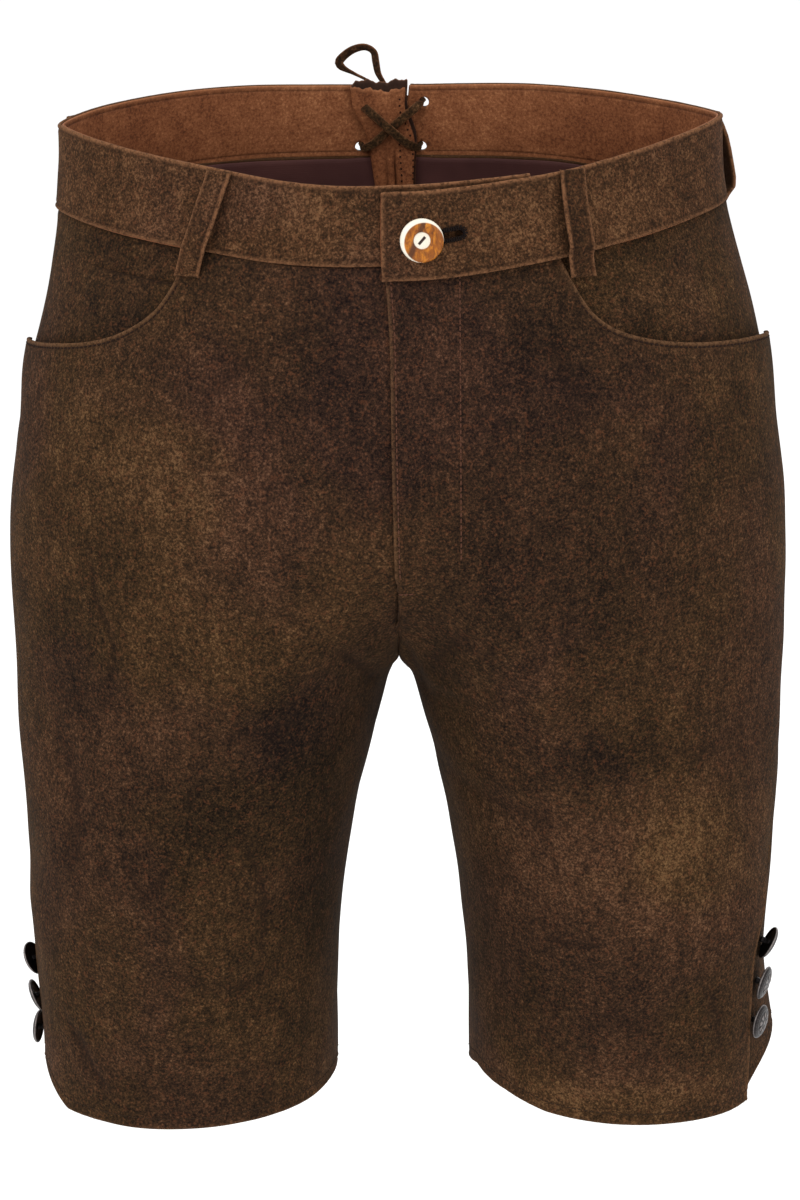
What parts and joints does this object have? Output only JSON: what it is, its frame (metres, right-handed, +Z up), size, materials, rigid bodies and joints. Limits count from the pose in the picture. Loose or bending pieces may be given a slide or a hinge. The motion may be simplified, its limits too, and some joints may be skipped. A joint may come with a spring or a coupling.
{
  "type": "lederhosen",
  "caption": "Short suede lederhosen with a belt-loop waistband, one-button front, curved front pockets, a laced back gusset and buttoned leg vents, held in their worn shape.",
  "frame": {"origin": "middle of the waist opening, level with the top edge of the waistband at the sides: where the wearer holds the garment", "axes": "+Z up, the front of the garment faces -Y, and +X is the wearer's left"},
  "size_m": [0.3927, 0.2679, 0.5242],
  "materials": {
    "suede": "matt brushed suede, dark brown, clouded",
    "suede_light": "matt brushed suede, a shade lighter",
    "tan_leather": "smooth tan leather, low sheen",
    "lining_cloth": "plain dark lining cloth",
    "lace_suede": "narrow dark suede strip",
    "horn": "polished horn, amber with a pale rim",
    "pewter": "old pewter, dark and worn bright on its raised parts"
  },
  "bodies": {
    "root": {"back_left": "suede", "back_right": "suede", "belt_loop_back_left": "suede_light", "belt_loop_back_right": "suede_light", "belt_loop_front_left": "suede_light", "belt_loop_front_right": "suede_light", "belt_loop_side_left": "suede_light", "belt_loop_side_right": "suede_light", "coin_pocket": "suede", "facing_left": "tan_leather", "facing_right": "tan_leather", "fly_facing": "suede", "front_left": "suede", "front_right": "suede", "gusset": "tan_leather", "lace": "lace_suede", "lace_end_left": "lace_suede", "lace_end_right": "lace_suede", "lace_knot": "lace_suede", "lace_loop": "lace_suede", "leg_button_left_1": "pewter", "leg_button_left_2": "pewter", "leg_button_left_3": "pewter", "leg_button_right_1": "pewter", "leg_button_right_2": "pewter", "leg_button_right_3": "pewter", "lining_left": "lining_cloth", "lining_right": "lining_cloth", "pocket_facing_left": "suede", "pocket_facing_right": "suede", "waist_button": "horn", "waistband_left": "suede_light", "waistband_right": "suede_light"}
  },
  "joints": []
}
